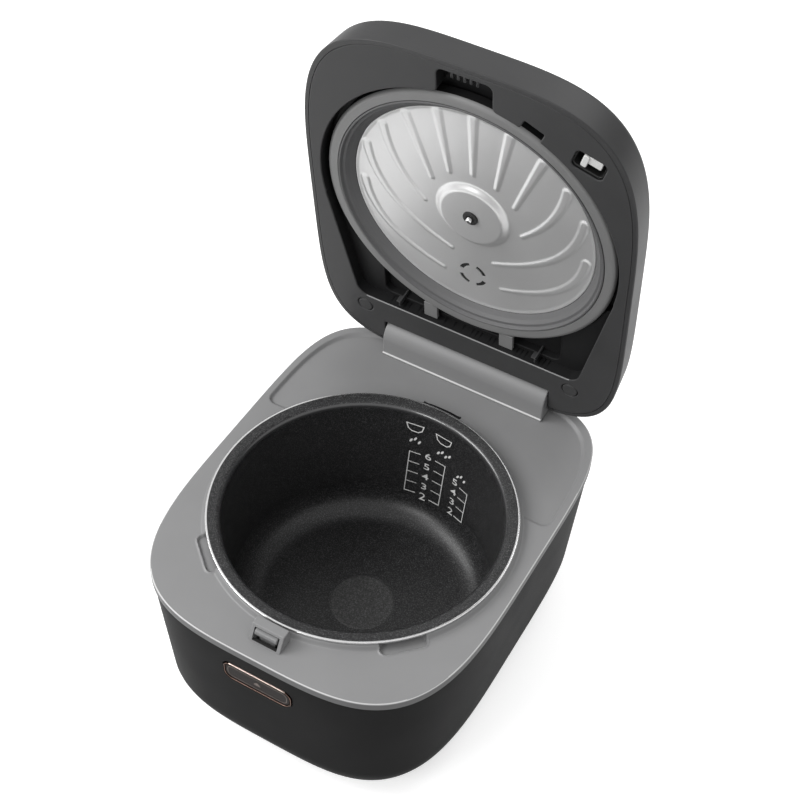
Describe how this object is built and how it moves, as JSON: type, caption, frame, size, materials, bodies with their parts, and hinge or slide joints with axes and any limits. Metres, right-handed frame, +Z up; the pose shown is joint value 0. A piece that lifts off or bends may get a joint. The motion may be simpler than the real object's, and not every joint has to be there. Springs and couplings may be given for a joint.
{
  "type": "rice cooker",
  "caption": "Electric rice cooker: rounded matt black casing, grey top deck, lift-out non-stick pot, sprung hinged lid with pull-off steel inner lid, front button latch and rear power inlet.",
  "frame": {"origin": "on the surface the cooker stands on, under the middle of its box with the lid open", "axes": "+Z up, +Y to the back where the hinge is, +X to the right seen from the front"},
  "size_m": [0.246, 0.3177, 0.4529],
  "materials": {
    "black_casing": "fine matte moulded texture",
    "grey_plastic": "satin moulded",
    "dark_grey_plastic": "satin moulded",
    "light_grey_plastic": "satin moulded",
    "white_plastic": "gloss moulded",
    "black_rubber": "matte rubber",
    "grey_silicone": "matte silicone",
    "stainless": "pressed and polished",
    "aluminium": "cast",
    "steel": "plain",
    "non_stick": "speckled non-stick coating",
    "rose_gold": "metallic plated edge",
    "gloss_black": "high gloss",
    "display": "high gloss",
    "circuit_board": "solder mask",
    "component": "moulded",
    "brass": "turned"
  },
  "bodies": {
    "body": {"outer_shell": "black_casing", "top_deck": "grey_plastic", "latch_housing": "grey_plastic", "hinge_cover": "grey_plastic", "base_plate": "black_casing", "foot_front_left": "black_rubber", "foot_front_right": "black_rubber", "foot_rear_left": "black_rubber", "foot_rear_right": "black_rubber", "base_screw_1": "steel", "base_screw_2": "steel", "base_screw_3": "steel", "base_screw_4": "steel", "inner_liner": "steel", "heating_plate": "aluminium", "heating_element": "steel", "plate_support_1": "steel", "plate_support_2": "steel", "plate_support_3": "steel", "sensor_spring": "steel", "thermal_fuse": "component", "power_board": "circuit_board", "power_relay": "component", "transformer": "component", "capacitor": "component", "power_inlet": "black_casing", "inlet_pin_live": "brass", "inlet_pin_neutral": "brass", "inlet_pin_earth": "brass", "hinge_pin": "steel", "hinge_spring_left": "steel", "hinge_spring_right": "steel", "latch_bracket": "steel", "latch_pivot_pin": "steel", "latch_spring": "steel"},
    "pot": {"inner_pot": "non_stick"},
    "button": {"open_button": "gloss_black", "button_trim": "rose_gold"},
    "latch_lever": {"latch_lever": "dark_grey_plastic"},
    "sensor": {"thermal_sensor": "aluminium"},
    "lid": {"lid_outer_cover": "black_casing", "lid_frame": "dark_grey_plastic", "lid_backing_plate": "dark_grey_plastic", "lid_heater_plate": "aluminium", "steam_duct": "grey_silicone", "control_board": "circuit_board", "control_panel": "gloss_black", "display_window": "display", "lid_catch": "dark_grey_plastic", "inner_lid_pin": "steel", "screw_cap_left": "dark_grey_plastic", "screw_cap_right": "dark_grey_plastic"},
    "inner_lid": {"seal_carrier": "light_grey_plastic", "seal_gasket": "grey_silicone", "inner_lid_plate": "stainless", "centre_grommet": "black_rubber"},
    "steam_cap": {"steam_cap": "black_casing"},
    "release_tab": {"release_tab": "white_plastic"}
  },
  "joints": [
    {"name": "lid_hinge", "type": "hinge", "parent": "body", "child": "lid", "pos_m": [0, 0.1396, 0.1573], "axis": [-1, 0, 0], "range_deg": [-82.8, 0], "stiffness_Nm_per_rad": 0.8, "springref_deg": 40.11},
    {"name": "pot_lift", "type": "slide", "parent": "body", "child": "pot", "axis": [0, 0, 1], "range_m": [0, 0.12]},
    {"name": "button_press", "type": "slide", "parent": "body", "child": "button", "axis": [0, 1, 0], "range_m": [0, 0.0015], "stiffness_N_per_m": 900, "springref_m": -0.001},
    {"name": "latch_swing", "type": "hinge", "parent": "body", "child": "latch_lever", "pos_m": [0, -0.1411, 0.051], "axis": [-1, 0, 0], "range_deg": [0, 1.6]},
    {"name": "sensor_press", "type": "slide", "parent": "body", "child": "sensor", "axis": [0, 0, 1], "range_m": [-0.003, 0], "stiffness_N_per_m": 600, "springref_m": 0.003, "deforming": ["sensor_spring"]},
    {"name": "inner_lid_pull", "type": "slide", "parent": "lid", "child": "inner_lid", "axis": [0, -0.9921, -0.1253], "range_m": [0, 0.02]},
    {"name": "steam_cap_lift", "type": "slide", "parent": "lid", "child": "steam_cap", "axis": [0, 0.9921, 0.1253], "range_m": [0, 0.02]},
    {"name": "release_tab_slide", "type": "slide", "parent": "lid", "child": "release_tab", "axis": [-0.9659, -0.0324, 0.2568], "range_m": [0, 0.003], "stiffness_N_per_m": 300, "springref_m": -0.002}
  ],
  "couplings": [
    {"joint": "latch_swing", "follows": "button_press", "rad_per_m": 16.13}
  ]
}
